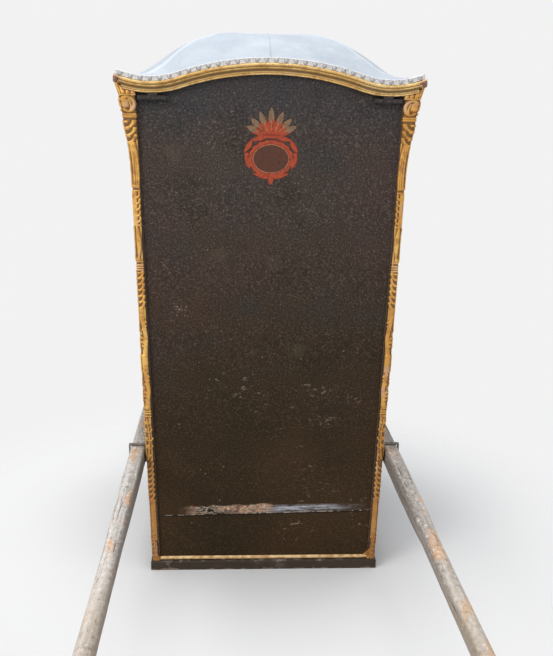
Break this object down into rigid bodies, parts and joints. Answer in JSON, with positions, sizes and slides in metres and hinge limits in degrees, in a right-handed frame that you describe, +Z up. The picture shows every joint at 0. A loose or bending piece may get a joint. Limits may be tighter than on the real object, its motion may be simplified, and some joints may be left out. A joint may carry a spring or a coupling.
{
  "type": "sedan chair",
  "caption": "Closed sedan chair with a tapered leather-covered cabin, gilt corner posts, domed hinged roof, front door and two long carrying poles.",
  "frame": {"origin": "on the floor under the middle of the cabin", "axes": "+Z up, +Y towards the front, where the door is, and +X towards the right hand of a passenger who faces forward"},
  "size_m": [0.832, 3.4, 1.598],
  "materials": {
    "dark_leather": "aged varnished leather over boards",
    "gilt_wood": "worn gilding on carved wood",
    "roof_leather": "weathered pale blue-grey leather",
    "pole_wood": "weathered bare wood",
    "base_wood": "dark painted wood, worn",
    "plain_wood": "plain waxed wood",
    "iron": "dark wrought iron",
    "brass": "old polished brass",
    "glass": "clear old window glass",
    "seat_fabric": "worn woven silk"
  },
  "bodies": {
    "root": {"back_cushion": "seat_fabric", "back_panel": "dark_leather", "base_frame": "base_wood", "bracket_back_left": "iron", "bracket_back_right": "iron", "bracket_front_left": "iron", "bracket_front_right": "iron", "corner_post_back_left": "gilt_wood", "corner_post_back_right": "gilt_wood", "corner_post_front_left": "gilt_wood", "corner_post_front_right": "gilt_wood", "door_hinge_post_leaves": "iron", "floor_board": "plain_wood", "foot_bead_back": "gilt_wood", "foot_bead_left": "gilt_wood", "foot_bead_right": "gilt_wood", "roof_hinge_wall_leaves": "iron", "seat_board": "plain_wood", "seat_cushion": "seat_fabric", "seat_front": "plain_wood", "side_panel_left": "dark_leather", "side_panel_right": "dark_leather", "window_frame_left": "gilt_wood", "window_frame_right": "gilt_wood", "window_glass_left": "glass", "window_glass_right": "glass"},
    "door": {"door_glass": "glass", "door_hinge_leaves": "iron", "door_knob": "brass", "door_panel": "dark_leather", "door_window_frame": "gilt_wood"},
    "roof": {"cornice_back": "gilt_wood", "cornice_front": "gilt_wood", "cornice_left": "gilt_wood", "cornice_right": "gilt_wood", "roof_dome": "roof_leather", "roof_hinge_knuckles": "iron"},
    "pole_left": {"pole_left": "pole_wood"},
    "pole_right": {"pole_right": "pole_wood"}
  },
  "joints": [
    {"name": "door_hinge", "type": "hinge", "parent": "root", "child": "door", "pos_m": [-0.31, 0.397, 0.03], "axis": [-0.0296, 0.0238, 0.9993], "range_deg": [0, 90]},
    {"name": "roof_hinge", "type": "hinge", "parent": "root", "child": "roof", "pos_m": [0, -0.442, 1.406], "axis": [1, 0, 0], "range_deg": [0, 60]},
    {"name": "pole_left_slide", "type": "slide", "parent": "root", "child": "pole_left", "axis": [0, 1, 0], "range_m": [-2.1, 2.1]},
    {"name": "pole_right_slide", "type": "slide", "parent": "root", "child": "pole_right", "axis": [0, 1, 0], "range_m": [-2.1, 2.1]}
  ]
}
